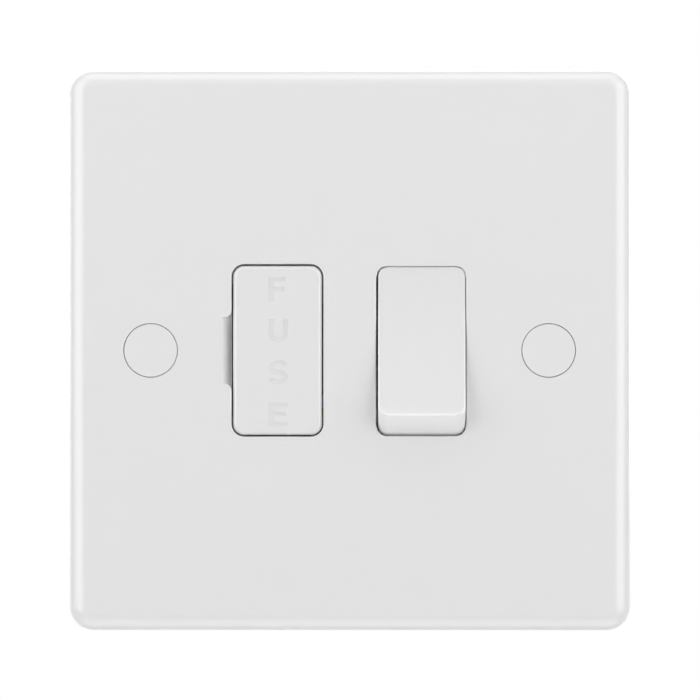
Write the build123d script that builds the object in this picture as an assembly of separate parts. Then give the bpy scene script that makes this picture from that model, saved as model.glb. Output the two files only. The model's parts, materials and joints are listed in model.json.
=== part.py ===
"""Switched fused connection unit on a single square plate.

Millimetres. +X is to the right and +Z up, as seen from the front, which faces -Y.
The origin is the centre of the plate on the wall plane, y = 0.
The switch stands at off, with the lower end of its rocker proud.
"""

from build123d import *

import os
from math import atan2, cos, degrees, hypot, pi, radians, sin, sqrt

# Front plate
plate_size = 86.0
plate_height = 9.0
plate_corner_r = 4.0
plate_draft = 4.0
plate_edge_r = 2.6
plate_skin = 2.4
rim_wall = 2.0
hollow_corner_r = 2.0
fixing_centres = 60.3
control_centres = 21.86
collar_wall = 1.2
collar_depth = 2.8
rim_bevel = 0.2
bevel_angle = 45.0
rib_wall = 1.4

# Screw caps and fixing screws
cap_d = 8.1
cap_gap = 0.08
cap_skin = 1.0
cap_bevel = 0.15
cap_leg_t = 0.5
cap_leg_width = 1.8
cap_legs = 4
fixing_boss_wall = 0.9
screw_head_r = 3.3
screw_head_height = 2.2
screw_seat_depth = 4.5
screw_r = 1.75
screw_neck_r = 1.6
screw_length = 25.0
screw_hole_r = 2.1
screw_sides = 12

# Rocker switch
rocker_aperture_width = 13.63
rocker_aperture_height = 25.6
rocker_aperture_drop = 0.11
rocker_aperture_shift = 0.085
rocker_aperture_corner_r = 1.5
rocker_side_gap = 0.2
rocker_end_gap = 0.25
rocker_pivot_depth = 9.0
rocker_proud = 2.9
rocker_wall = 1.5
rocker_corner_r = 1.7
rocker_bevel = 0.35
rim_steps = 3
rocker_skirt = 6.6
trunnion_r = 1.5
trunnion_length = 1.3
trunnion_lobe = 1.1
running_clearance = 0.05
pole_offset = 3.6

# Plungers and their springs
plunger_half = 1.47
plunger_clearance = 0.08
plunger_reach = 8.0
plunger_length = 7.5
plunger_tube_wall = 0.95
plunger_tube_reach = 4.2
spring_length = 6.0
spring_wire = 0.36
spring_turns = 4
spring_runs = 9
spring_side_gap = 0.2

# Contacts
strip_t = 0.8
bend_room = 0.9
arm_ratio = 1.5
arm_play = 0.06
arm_face = 0.9
arm_up = 9.2
arm_down = 5.5
arm_lug = 0.8
arm_side_gap = 0.2
tip_half = 1.6
tip_height = 0.9
tip_crown_r = 4.0
tip_up = 7.6
fixed_tip_height = 0.6
contact_gap = 0.11
pad_width = 4.0
support_height = 4.24
seat_clearance = 0.2
rivet_clearance = 0.03

# Cartridge fuse and drawer
fuse_length = 25.4
fuse_cap_r = 3.175
fuse_cap_length = 5.8
fuse_cap_skin = 0.5
fuse_body_r = 2.9
fuse_end_gap = 0.35
fuse_depth = 5.9
drawer_aperture_width = 13.91
drawer_aperture_r = 1.9
drawer_gap = 0.22
drawer_face_t = 2.4
drawer_bevel = 0.4
drawer_seat = 2.0
drawer_travel = 12.5
cradle_wall = 1.2
cradle_clearance = 0.1
cradle_mouth = 5.0
tongue_t = 1.4
tongue_reach = 17.1
lug_height = 1.3
lug_length = 1.8
pry_depth = 1.2
pry_length = 8.0
pry_width = 1.6
pry_front = 0.8
notch_width = 1.35
notch_length = 10.1
notch_depth = 0.85
notch_round = 1.0

# Fuse clips
clip_t = 0.6
clip_width = 3.2
clip_inset = 0.6
clip_clearance = 0.125
clip_lip = 0.7
clip_lip_length = 1.2
clip_reach = 1.3
clip_base_gap = 0.725
clip_head_t = 0.4

# Terminals
block_width = 8.0
block_height = 9.4
block_depth = 8.4
wire_bore_r = 2.1
wire_bore_depth = 3.6
wire_entry = 5.4
clamp_screw_r = 1.7
clamp_head_r = 2.6
clamp_head_t = 1.5
clamp_head_lift = 0.4
clamp_tip_gap = 0.15
clamp_access_gap = 0.3
tenon_width = 2.2
tenon_height = 1.6
tenon_spread = 0.5
tenon_head_t = 0.5
post_side = 2.6
post_draft = 1.0
post_gap = 0.1
row_gap = 3.8
row_margin = 1.3
terminal_gap = 0.8
terminal_margin = 3.5
strap_width = 2.8
strap_margin = 3.1

# Rear housing
housing_wall = 1.8
housing_floor = 2.0
housing_corner_r = 3.0
housing_bevel = 0.8
spine_t = 1.0
spine_lead = 3.0
barrier_t = 1.2
bay_gap = 0.4
rib_gap = 0.15
rib_height = 1.5
hook_t = 1.1
hook_gap = 0.1
hook_width = 5.0
hook_reach = 3.6
hook_lead = 1.7
hook_z = 13.0
link_width = 3.8
link_side_gap = 1.5

# Depths, counted from the wall plane towards the back
wall = 0.0
front = wall - plate_height
skin_in = front + plate_skin
collar_back = skin_in + collar_depth
pivot_y = front + rocker_pivot_depth
face_back = front + drawer_face_t
fuse_y = front + fuse_depth
screw_seat = front + screw_seat_depth
catch_y = skin_in + hook_reach

# Rocker motion: its end faces are arcs about the pivot, flush at the top and proud at the bottom
sweep_r = hypot(rocker_aperture_height / 2, rocker_pivot_depth)
rocker_r = sweep_r - rocker_end_gap
rocker_half = rocker_aperture_width / 2 - rocker_side_gap
flush_angle = atan2(sqrt(rocker_r**2 - rocker_pivot_depth**2), rocker_pivot_depth)
proud_depth = rocker_pivot_depth + rocker_proud
proud_angle = atan2(sqrt(rocker_r**2 - proud_depth**2), proud_depth)
half_throw = degrees(flush_angle - proud_angle) / 2
rocker_face = rocker_r * cos((flush_angle + proud_angle) / 2)
arm_swing = arm_ratio * half_throw

# Depths of the contact work
tip_centre = plunger_reach - plunger_half
arm_y = pivot_y + plunger_reach + arm_play + arm_face
arm_back = strip_t - arm_face
tip_reach = arm_back + tip_height
closed_y = arm_y + tip_reach * cos(radians(arm_swing)) + tip_up * sin(radians(arm_swing))
closed_z = tip_up * cos(radians(arm_swing)) - tip_reach * sin(radians(arm_swing))
pad_front = closed_y + contact_gap + fixed_tip_height
pad_back = pad_front + strip_t
floor_in = pad_back + support_height
floor_back = floor_in + housing_floor
floor_mid = floor_in + housing_floor / 2
block_front = floor_in - block_depth
tail_front = block_front - strip_t
peg_front = tail_front - tenon_head_t
wire_y = block_front + wire_bore_depth
clip_base = fuse_y + fuse_cap_r + clip_base_gap
strap_front = clip_base + clip_t
strap_back = strap_front + strip_t

# Places across the plate
fixing_x = fixing_centres / 2
rocker_x = control_centres / 2
drawer_x = -control_centres / 2
live_x = rocker_x - pole_offset
neutral_x = rocker_x + pole_offset
terminal_step = spine_t / 2 + terminal_gap + block_width / 2
live_block_x = rocker_x - terminal_step
neutral_block_x = rocker_x + terminal_step
housing_in_x = neutral_block_x + block_width / 2 + terminal_margin
housing_x = housing_in_x + housing_wall
strap_x = -housing_in_x + strap_margin + strap_width / 2
fixing_boss_r = cap_d / 2 + cap_gap + fixing_boss_wall
collar_in = rocker_aperture_width / 2
collar_out = collar_in + rib_wall
pin_half = pole_offset - spine_t / 2 - arm_side_gap
ear_in = pin_half - strip_t + arm_side_gap / 2
arm_half = ear_in - arm_side_gap
drawer_half = drawer_aperture_width / 2
tongue_out = drawer_half - drawer_gap - running_clearance
tongue_in = tongue_out - tongue_t
link_right = rocker_x - collar_out - link_side_gap
link_left = link_right - link_width
barrier_x = (drawer_x + live_block_x) / 2

# Places up the plate
fuse_half = fuse_length / 2
drawer_aperture_height = fuse_length + 2 * fuse_end_gap
clip_out = fuse_half - clip_inset
clip_in = clip_out - clip_width
clip_z = (clip_in + clip_out) / 2
lug_half = clip_in - 3 * seat_clearance
tongue_half = lug_half - lug_height
cradle_half = fuse_half - fuse_cap_length - 2 * seat_clearance
row_z = fuse_half + row_gap + block_height / 2
housing_in_z = row_z + block_height / 2 + row_margin
housing_z = housing_in_z + housing_wall
collar_end = sweep_r + 2 * seat_clearance
riser_z = arm_up + arm_side_gap + strip_t + bend_room
foot_low = arm_down + 2 * strip_t
run_high = foot_low - link_width

sides = (-1, 1)
pivot_axis = Axis((0, pivot_y, 0), (1, 0, 0))
arm_axis = Axis((0, arm_y, 0), (1, 0, 0))
terminals = {
    "live_in_terminal": (live_block_x, live_x, row_z),
    "neutral_in_terminal": (neutral_block_x, neutral_x, row_z),
    "earth_in_terminal": (drawer_x, drawer_x, row_z),
    "live_out_terminal": (live_block_x, live_x, -row_z),
    "neutral_out_terminal": (neutral_block_x, neutral_x, -row_z),
    "earth_out_terminal": (drawer_x, drawer_x, -row_z),
}


def prism(outline, back, front_depth, taper=0):
    """Plan outline, X across and Z up, carried forward from one depth to another."""
    return extrude(Plane.XZ.offset(-back) * outline, amount=back - front_depth, taper=taper)


def slice_x(profile, left, right):
    """Side profile, Y across and Z up, carried between two x places."""
    return extrude(Plane.YZ.offset(left) * profile, amount=right - left)


def slice_z(section, low, high):
    """Level section, X across and Y back, carried between two heights."""
    return extrude(Plane.XY.offset(low) * section, amount=high - low)


def span(left, right, low, high):
    """Rectangle between two pairs of limits."""
    return Pos((left + right) / 2, (low + high) / 2) * Rectangle(right - left, high - low)


def rod(x, z, radius, back, front_depth):
    """Round bar along Y."""
    return prism(Pos(x, z) * Circle(radius), back, front_depth)


def cross_bar(x, y, radius, half):
    """Round bar along X, centred on x at height zero."""
    return Pos(x, y, 0) * Rot(0, 90, 0) * Cylinder(radius, 2 * half)


def polygon(*points):
    """Face inside a closed run of straight edges."""
    return make_face(Polyline(*points, close=True))


def tenon(x, z, grow, back, front_depth):
    """Flat tenon that a strip is staked on, grown by an offset."""
    return prism(Pos(x, z) * Rectangle(tenon_width + 2 * grow, tenon_height + 2 * grow), back, front_depth)


def screw_bar(x, z, radius, back, front_depth):
    """Bar with a few flats along Y: a small screw, its boss or its hole."""
    return prism(Pos(x, z) * RegularPolygon(radius, screw_sides), back, front_depth)


def folded(points, thickness):
    """Section of a strip folded sharply along a centreline."""
    return trace(Polyline(*points), line_width=thickness)


def front_edges(solid):
    """Edges round the foremost face."""
    return solid.faces().sort_by(Axis.Y)[0].edges()


def back_edges(solid):
    """Edges round the rearmost face."""
    return solid.faces().sort_by(Axis.Y)[-1].edges()


def housing_outline(grow=0.0):
    """Plan outline of the rear housing, grown by an offset, with a bay beside each fixing boss."""
    outline = RectangleRounded(
        2 * (housing_x + grow), 2 * (housing_z + grow), housing_corner_r + grow
    )
    for side in sides:
        outline -= Pos(side * fixing_x, 0) * Circle(fixing_boss_r + bay_gap - grow)
    return outline


def rocker_puck(radius, half, corner):
    """Disc about the rocker's pivot, its rims rounded in short steps."""
    turns = [pi / 2 * step / rim_steps for step in range(rim_steps + 1)]
    rim = [(half - corner + corner * cos(turn), radius - corner + corner * sin(turn)) for turn in turns]
    outline = [(half, 0), *rim]
    profile = polygon(*outline, *[(-x, r) for x, r in reversed(outline)])
    return Pos(rocker_x, pivot_y, 0) * revolve(profile, axis=Axis.X)


def plate_shell():
    """The plate itself: drafted sides, rounded front edge, hollow back."""
    shell = prism(RectangleRounded(plate_size, plate_size, plate_corner_r), wall, front, plate_draft)
    draft_in = plate_height * sin(radians(plate_draft))
    quarter = shell & prism(span(0, plate_size, 0, plate_size), wall, front)
    rim = [edge for edge in front_edges(quarter) if min(edge.center().X, edge.center().Z) > plate_edge_r]
    quarter = fillet(rim, min(plate_edge_r, plate_corner_r - draft_in - rim_bevel))
    half = quarter + mirror(quarter, Plane.YZ)
    shell = half + mirror(half, Plane.XY)
    hollow = plate_size - 2 * rim_wall
    return shell - prism(RectangleRounded(hollow, hollow, hollow_corner_r), wall, skin_in, plate_draft)


def fixing_bosses():
    """Boss behind each screw cap, with a rib to the rim and a gusset above and below."""
    bosses = []
    rim_in = plate_size / 2 - rim_wall
    gusset_back = wall - rib_height
    for side in sides:
        x = side * fixing_x
        bosses.append(screw_bar(x, 0, fixing_boss_r, wall, skin_in))
        ends = sorted((x, side * rim_in))
        bosses.append(prism(span(*ends, -rib_wall / 2, rib_wall / 2), gusset_back, skin_in))
        for up in sides:
            root = up * (fixing_boss_r - rib_wall)
            toe = up * (2 * fixing_boss_r)
            gusset = polygon((skin_in, root), (gusset_back, root), (skin_in, toe))
            bosses.append(slice_x(gusset, x - rib_wall / 2, x + rib_wall / 2))
    return bosses


def rocker_collar():
    """Walls behind the rocker's aperture, whose sides carry the trunnions in open slots."""
    end = collar_end + collar_wall
    cheek_back = pivot_y + trunnion_r + trunnion_lobe
    cheek_half = 2 * trunnion_r + trunnion_lobe
    half_profile = [(skin_in, end), (collar_back, end), (cheek_back, cheek_half)]
    profile = polygon(*half_profile, *[(y, -z) for y, z in reversed(half_profile)])
    slot_r = trunnion_r + running_clearance
    profile -= Pos(pivot_y, 0) * Circle(slot_r)
    profile -= span(pivot_y, cheek_back + slot_r, -slot_r, slot_r)
    walls = []
    for side in sides:
        ends = sorted((rocker_x + side * collar_in, rocker_x + side * collar_out))
        walls.append(slice_x(profile, *ends))
        rows = sorted((side * collar_end, side * end))
        walls.append(prism(span(rocker_x - collar_out, rocker_x + collar_out, *rows), collar_back, skin_in))
    return walls


def drawer_outline(grow=0.0):
    """Plan outline of the drawer's aperture, grown by an offset."""
    return Pos(drawer_x, 0) * RectangleRounded(
        drawer_aperture_width + 2 * grow, drawer_aperture_height + 2 * grow, drawer_aperture_r + grow
    )


def drawer_stops():
    """Corner seats behind the drawer's face, and the tabs that keep the drawer captive."""
    seat_y = face_back + running_clearance
    seat_in = drawer_half - drawer_seat
    stops = []
    for up in sides:
        rows = sorted((up * (clip_out - drawer_seat), up * (drawer_aperture_height + collar_wall) / 2))
        for side in sides:
            ends = sorted(
                (drawer_x + side * seat_in, drawer_x + side * (drawer_half + collar_wall / 2))
            )
            stops.append(prism(span(*ends, *rows), seat_y + rib_wall, seat_y))
        tab = sorted((up * (tongue_half + seat_clearance), up * (lug_half + seat_clearance)))
        tab_left = drawer_x + tongue_in
        tab_right = drawer_x + drawer_half + collar_wall / 2
        tab_back = face_back + tongue_reach - lug_length - drawer_travel
        stops.append(prism(span(tab_left, tab_right, *tab), tab_back, tab_back - collar_wall))
    return stops


def screwdriver_notch():
    """Ramp beside the drawer, deepest at the aperture, with its ends rounded into the aperture's edge."""
    edge = drawer_x - drawer_half
    outer = edge - notch_width
    half = notch_length / 2
    outline = span(outer, edge + drawer_gap, -half, half)
    for up in sides:
        flare = sorted((up * half, up * (half + notch_round)))
        round_off = Pos(edge - notch_round, up * (half + notch_round)) * Circle(notch_round)
        outline += span(edge - notch_round, edge, *flare) - round_off
    ramp = polygon((outer, front), (edge, front + notch_depth), (edge + drawer_gap, front + notch_depth),
                   (edge + drawer_gap, front - rim_bevel), (outer, front - rim_bevel))
    reach = half + 2 * notch_round
    return prism(outline, front + plate_skin, front - rim_bevel) & slice_z(ramp, -reach, reach)


def locating_ribs():
    """Ribs on the back of the plate that the rear housing stands between."""
    near_x = housing_x + rib_gap
    near_z = housing_z + rib_gap
    top_half = housing_x - 2 * housing_corner_r
    plan = []
    for side in sides:
        ends = sorted((side * near_x, side * (near_x + collar_wall)))
        for up in sides:
            rows = sorted((up * 2 * fixing_boss_r, up * (housing_z - housing_corner_r)))
            plan.append(span(*ends, *rows))
        rows = sorted((side * near_z, side * (near_z + collar_wall)))
        plan.append(span(-top_half, top_half, *rows))
    return [prism(bar, skin_in + rib_height, skin_in) for bar in plan]


def snap_hooks():
    """Hooks on the back of the plate that catch in the side walls of the rear housing."""
    hooks = []
    for side in sides:
        outer = side * (housing_in_x - hook_gap)
        inner = outer - side * hook_t
        barb = side * (housing_x - hook_gap)
        tip_y = catch_y + hook_lead
        profile = polygon((inner, skin_in), (outer, skin_in), (outer, catch_y), (barb, catch_y),
                          (outer, tip_y), (inner, tip_y))
        for up in sides:
            hooks.append(slice_z(profile, up * hook_z - hook_width / 2, up * hook_z + hook_width / 2))
    return hooks


def front_plate():
    """Moulded front plate with all that stands on its back."""
    plate = plate_shell() + fixing_bosses() + rocker_collar() + locating_ribs() + snap_hooks()
    plate += prism(drawer_outline(collar_wall), collar_back, skin_in)
    for x, peg_x, z in terminals.values():
        post = Pos(peg_x, z) * Rectangle(post_side, post_side)
        plate += prism(post, peg_front - post_gap, skin_in, -post_draft)
    off_centre = Pos(-rocker_aperture_shift, 0, -rocker_aperture_drop)
    plate -= off_centre * rocker_puck(sweep_r, collar_in, rocker_aperture_corner_r)
    plate -= prism(drawer_outline(), collar_back, front)
    rocker_outline = RectangleRounded(rocker_aperture_width, rocker_aperture_height, rocker_aperture_corner_r)
    rocker_outline = Pos(rocker_x - rocker_aperture_shift, -rocker_aperture_drop) * rocker_outline
    for outline in (drawer_outline(), rocker_outline):
        plate -= prism(outline, front + rim_bevel, front, -bevel_angle)
    plate += drawer_stops()
    plate -= screwdriver_notch()
    for side in sides:
        x = side * fixing_x
        plate -= rod(x, 0, cap_d / 2 + cap_gap, screw_seat, front)
        plate -= rod(x, 0, screw_hole_r, wall, front)
    return plate


def tray():
    """Open box of the rear housing with windows for the plate's hooks."""
    box = prism(housing_outline(), floor_back, skin_in)
    box = chamfer(back_edges(box), housing_bevel)
    box -= prism(housing_outline(-housing_wall), floor_in, skin_in)
    reach = housing_x + housing_wall
    half = hook_width / 2 + hook_gap
    for up in sides:
        window = span(-reach, reach, up * hook_z - half, up * hook_z + half)
        box -= prism(window, catch_y + hook_lead + hook_gap, catch_y - hook_gap)
    return box


def trunnion_posts():
    """Posts that close the trunnion slots from behind."""
    slot_half = trunnion_r - running_clearance
    foot_half = 2 * trunnion_r
    profile = polygon((floor_mid, -foot_half), (floor_mid, foot_half), (plunger_tube_reach, slot_half),
                      (pivot_y, slot_half), (pivot_y, -slot_half), (plunger_tube_reach, -slot_half))
    profile -= Pos(pivot_y, 0) * Circle(trunnion_r + running_clearance)
    posts = []
    for side in sides:
        ends = sorted((rocker_x + side * (collar_in + running_clearance), rocker_x + side * collar_out))
        posts.append(slice_x(profile, *ends))
    return posts


def supports():
    """Pedestals under the brackets, contact pads, straps and fuse clips."""
    pads = []
    for x in (live_x, neutral_x):
        for low, high in ((-foot_low, arm_half), (closed_z - tip_half, closed_z + tip_half)):
            pads.append(prism(span(x - arm_half, x + arm_half, low, high), floor_mid, pad_back))
    pads.append(prism(span(link_left, link_right, run_high, clip_in), floor_mid, pad_back))
    for up in sides:
        rows = sorted((up * clip_in, up * clip_out))
        pads.append(prism(span(drawer_x - fuse_cap_r, drawer_x + fuse_cap_r, *rows), floor_mid, strap_back))
    return pads


def barriers():
    """Insulating walls between the poles and between the terminals, and the drawer's guide rib."""
    spine_front = arm_y - spine_lead
    walls = [prism(span(rocker_x - spine_t / 2, rocker_x + spine_t / 2, -housing_in_z, housing_in_z),
                   floor_mid, spine_front)]
    for up in sides:
        rows = sorted((up * (row_z - block_height / 2 - barrier_t), up * (housing_in_z + housing_wall / 2)))
        wall_plan = span(barrier_x - barrier_t / 2, barrier_x + barrier_t / 2, *rows)
        walls.append(prism(wall_plan, floor_mid, peg_front))
    for x, peg_x, z in terminals.values():
        for side in sides:
            near = x + side * (block_width / 2 + seat_clearance)
            ends = sorted((near, near + side * barrier_t))
            keeper = span(*ends, z - block_height / 4, z + block_height / 4)
            walls.append(prism(keeper, floor_mid, wire_y - wire_bore_r))
    guide_right = drawer_x + tongue_in - seat_clearance
    guide = span(guide_right - barrier_t, guide_right, -cradle_half, cradle_half)
    walls.append(prism(guide, floor_mid, strap_back))
    return walls


def rear_housing():
    """Moulded tray behind the plate, with wire entries and windows behind the terminals."""
    housing = tray() + trunnion_posts() + supports() + barriers()
    window = 2 * (clamp_head_r + clamp_access_gap)
    for x, peg_x, z in terminals.values():
        housing -= prism(Pos(x, z) * Rectangle(window, window), floor_back, floor_in)
        up = z / row_z
        mouth = sorted((up * housing_in_z, up * (housing_z + housing_wall)))
        housing -= slice_z(Pos(x, wire_y) * Rectangle(wire_entry, wire_entry), *mouth)
    return housing


def rocker():
    """Hollow rocker with trunnions and two plunger tubes, turned to its off position."""
    face_y = pivot_y - rocker_face
    back_y = pivot_y - rocker_face + rocker_skirt
    reach = 2 * sweep_r
    body = cross_bar(rocker_x, pivot_y, rocker_r, rocker_half)
    body &= prism(Pos(rocker_x, 0) * Rectangle(reach, reach), back_y, face_y)
    body = chamfer(front_edges(body), rocker_bevel)
    body &= rocker_puck(rocker_r, rocker_half, rocker_corner_r)
    hollow = cross_bar(rocker_x, pivot_y, rocker_r - rocker_wall, rocker_half - rocker_wall)
    hollow &= prism(Pos(rocker_x, 0) * Rectangle(reach, reach), back_y, face_y + rocker_wall)
    body -= hollow
    lobe_r = trunnion_r + trunnion_lobe
    lobe = polygon((back_y, -3 * lobe_r), (back_y, 3 * lobe_r), (pivot_y, lobe_r), (pivot_y, -lobe_r))
    lobe += Pos(pivot_y, 0) * Circle(lobe_r)
    bore = 2 * (plunger_half + plunger_clearance)
    tube_end = pivot_y + plunger_tube_reach
    for side in sides:
        outer = rocker_x + side * rocker_half
        body += slice_x(lobe, *sorted((outer, outer - side * rocker_wall)))
        trunnion = Circle(trunnion_r)
        ends = sorted((outer - side * rocker_wall / 2, outer + side * trunnion_length))
        body += slice_x(Pos(pivot_y, 0) * trunnion, *ends)
        x = rocker_x + side * pole_offset
        tube = Rectangle(bore + 2 * plunger_tube_wall, bore + 2 * plunger_tube_wall)
        body += prism(Pos(x, 0) * tube, tube_end, face_y + rocker_wall / 2)
    for side in sides:
        x = rocker_x + side * pole_offset
        body -= prism(Pos(x, 0) * Rectangle(bore, bore), tube_end, spring_front())
    return body.rotate(pivot_axis, -half_throw)


def plunger_back():
    """Depth of a plunger's back end, where its spring bears."""
    return pivot_y + plunger_reach - plunger_length


def spring_front():
    """Depth of the bottom of a plunger's bore."""
    return plunger_back() - spring_length


def plunger(x):
    """Square plunger with a half-round nose, turned with the rocker."""
    half = plunger_half
    nose = pivot_y + tip_centre
    tail = plunger_back()
    profile = make_face(
        Polyline((nose, half), (tail, half), (tail, -half), (nose, -half))
        + ThreePointArc((nose, -half), (pivot_y + plunger_reach, 0), (nose, half))
    )
    return slice_x(profile, x - half, x + half).rotate(pivot_axis, -half_throw)


def plunger_spring(x):
    """Coil spring behind a plunger, of square wire in short runs round a helix."""
    coil_r = plunger_half - spring_side_gap - spring_wire / 2
    first = spring_front() + spring_wire
    last = plunger_back() - spring_wire
    count = spring_turns * spring_runs
    route = []
    for step in range(count + 1):
        angle = 2 * pi * step / spring_runs
        route.append((x + coil_r * cos(angle), first + (last - first) * step / count, coil_r * sin(angle)))
    path = Polyline(*route)
    section = Plane(path @ 0, x_dir=(1, 0, 0), z_dir=path % 0) * Rectangle(spring_wire, spring_wire)
    coil = sweep(section, path=path, transition=Transition.RIGHT)
    return coil.rotate(pivot_axis, -half_throw)


def contact_arm(x):
    """Flat rocking arm whose side lugs lie in its bracket's notches; the plunger slides on its front."""
    face = arm_y - arm_face
    outline = Pos(x, (arm_up - arm_down) / 2) * Rectangle(2 * arm_half, arm_up + arm_down)
    outline += Pos(x, 0) * Rectangle(2 * pin_half, 2 * arm_lug)
    return prism(outline, face + strip_t, face).rotate(arm_axis, arm_swing)


def moving_tip(x):
    """Crowned silver pad on a contact arm."""
    seat = arm_y + arm_back
    top = seat + tip_height
    rim = top - (tip_crown_r - sqrt(tip_crown_r**2 - tip_half**2))
    low = tip_up - tip_half
    high = tip_up + tip_half
    profile = make_face(
        Polyline((rim, low), (seat, low), (seat, high), (rim, high))
        + ThreePointArc((rim, high), (top, tip_up), (rim, low))
    )
    return slice_x(profile, x - tip_half, x + tip_half).rotate(arm_axis, arm_swing)


def fixed_tip(x):
    """Flat silver pad on a fixed contact."""
    pad = Pos(x, closed_z) * Rectangle(2 * tip_half, 2 * tip_half)
    return prism(pad, pad_front, pad_front - fixed_tip_height)


def fixed_contact(x):
    """Folded strip from the contact pad to its terminal."""
    pad_y = pad_front + strip_t / 2
    tail_y = tail_front + strip_t / 2
    low = closed_z - tip_half - seat_clearance
    path = [(pad_y, low), (pad_y, riser_z), (tail_y, riser_z), (tail_y, row_z + pad_width / 2)]
    strip = slice_x(folded(path, strip_t), x - pad_width / 2, x + pad_width / 2)
    return strip - tenon(x, row_z, rivet_clearance, block_front, tail_front)


def pivot_bracket(x):
    """Foot with two notched ears for an arm's lugs, and the stop that the arm rests on when off."""
    foot = span(x - pin_half, x + pin_half, -foot_low, arm_half + strip_t)
    bracket = [prism(foot, pad_back, pad_front)]
    lean = sin(radians(arm_swing))
    notch = arm_lug + arm_face * lean + 2 * running_clearance
    notch_back = arm_y + arm_back + arm_lug * lean + 2 * running_clearance
    lead = arm_y - arm_face
    ear = polygon((pad_back, -2 * notch - strip_t), (pad_back, 2 * notch + strip_t),
                  (lead, notch + strip_t), (lead, -notch - strip_t))
    ear -= span(lead - notch, notch_back, -notch, notch)
    for side in sides:
        bracket.append(slice_x(ear, *sorted((x + side * ear_in, x + side * (ear_in + strip_t)))))
    rest_z = -(arm_down - arm_lug) * cos(radians(arm_swing))
    rest_y = arm_y + arm_down * lean + arm_back + seat_clearance
    stop = Pos(x, rest_z) * Rectangle(2 * arm_lug, 2 * arm_lug)
    bracket.append(prism(stop, pad_front, rest_y))
    return bracket


def live_link():
    """Live pole's bracket with the strap that runs beside the drawer to the upper fuse clip."""
    run = span(link_left, live_x, -foot_low, -run_high)
    rise = span(link_left, link_right, -foot_low, clip_out)
    link = prism(run, pad_back, pad_front) + prism(rise, pad_back, pad_front) + pivot_bracket(live_x)
    end = link_right - strip_t / 2
    foot_y = pad_front + strip_t / 2
    strap_y = strap_front + strip_t / 2
    path = [(link_left, foot_y), (end, foot_y), (end, strap_y), (drawer_x - fuse_cap_r, strap_y)]
    link += slice_z(folded(path, strip_t), clip_in, clip_out)
    return link + clip_rivet(clip_z)


def live_out_link():
    """Strap from the lower fuse clip to the live load terminal."""
    tail_y = tail_front + strip_t / 2
    strap_y = strap_front + strip_t / 2
    end = link_left + strip_t / 2
    right = live_x + pad_width / 2
    path = [(drawer_x - fuse_cap_r, strap_y), (end, strap_y), (end, tail_y), (right, tail_y)]
    link = slice_z(folded(path, strip_t), -clip_out, -clip_in)
    tail = span(live_x - pad_width / 2, right, -row_z - pad_width / 2, -clip_in)
    link += prism(tail, block_front, tail_front)
    link -= tenon(live_x, -row_z, rivet_clearance, block_front, tail_front)
    return link + clip_rivet(-clip_z)


def clip_rivet(z):
    """Staked tenon that holds a fuse clip on its strap."""
    head = clip_base - clip_head_t
    return tenon(drawer_x, z, 0, strap_back, head) + tenon(drawer_x, z, tenon_spread, clip_base, head)


def fuse_clip(z):
    """Spring clip whose jaws take one cap of the fuse."""
    jaw = fuse_cap_r + clip_clearance + clip_t / 2
    base_y = clip_base + clip_t / 2
    bend = fuse_y - clip_reach
    tip = bend - clip_lip_length
    right = [(jaw, base_y), (jaw, bend), (jaw + clip_lip, tip)]
    path = [(drawer_x - x, y) for x, y in reversed(right)] + [(drawer_x + x, y) for x, y in right]
    clip = slice_z(folded(path, clip_t), z - clip_width / 2, z + clip_width / 2)
    return clip - tenon(drawer_x, z, rivet_clearance, clip_base + clip_t, clip_base)


def neutral_bracket():
    """Neutral pole's bracket with its strap folded forward to the load terminal."""
    foot_y = pad_front + strip_t / 2
    tail_y = tail_front + strip_t / 2
    low = -foot_low - 2 * strip_t - bend_room
    path = [(foot_y, -arm_down), (foot_y, low), (tail_y, low), (tail_y, -row_z - pad_width / 2)]
    strap = slice_x(folded(path, strip_t), neutral_x - pad_width / 2, neutral_x + pad_width / 2)
    strap -= tenon(neutral_x, -row_z, rivet_clearance, block_front, tail_front)
    return strap + pivot_bracket(neutral_x)


def earth_strap():
    """Strip that joins the two earth terminals along the side of the housing."""
    left = strap_x - strap_width / 2
    half = strap_width / 2
    reach = row_z + half
    end = drawer_x + tenon_width / 2 + half
    strap = prism(span(left, left + strap_width, -reach, reach), block_front, tail_front)
    for up in sides:
        strap += prism(span(left, end, up * row_z - half, up * row_z + half), block_front, tail_front)
        strap -= tenon(drawer_x, up * row_z, rivet_clearance, block_front, tail_front)
    return strap


def terminal(x, peg_x, z):
    """Brass block with a wire bore, a clamping-screw hole and a staked tenon."""
    block = prism(Pos(x, z) * Rectangle(block_width, block_height), floor_in, block_front)
    half = block_height / 2
    block -= slice_z(Pos(x, wire_y) * Circle(wire_bore_r), z - half, z + half)
    block -= screw_bar(x, z, clamp_screw_r + running_clearance, floor_in, wire_y)
    block += tenon(peg_x, z, 0, block_front + strip_t, peg_front)
    return block + tenon(peg_x, z, tenon_spread, tail_front, peg_front)


def terminal_screw(x, z):
    """Clamping screw, backed off until its bore is clear."""
    head = floor_in + clamp_head_lift
    tip = wire_y + wire_bore_r + clamp_tip_gap
    shank = screw_bar(x, z, clamp_screw_r, head, tip)
    return shank + screw_bar(x, z, clamp_head_r, head + clamp_head_t, head)


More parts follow.
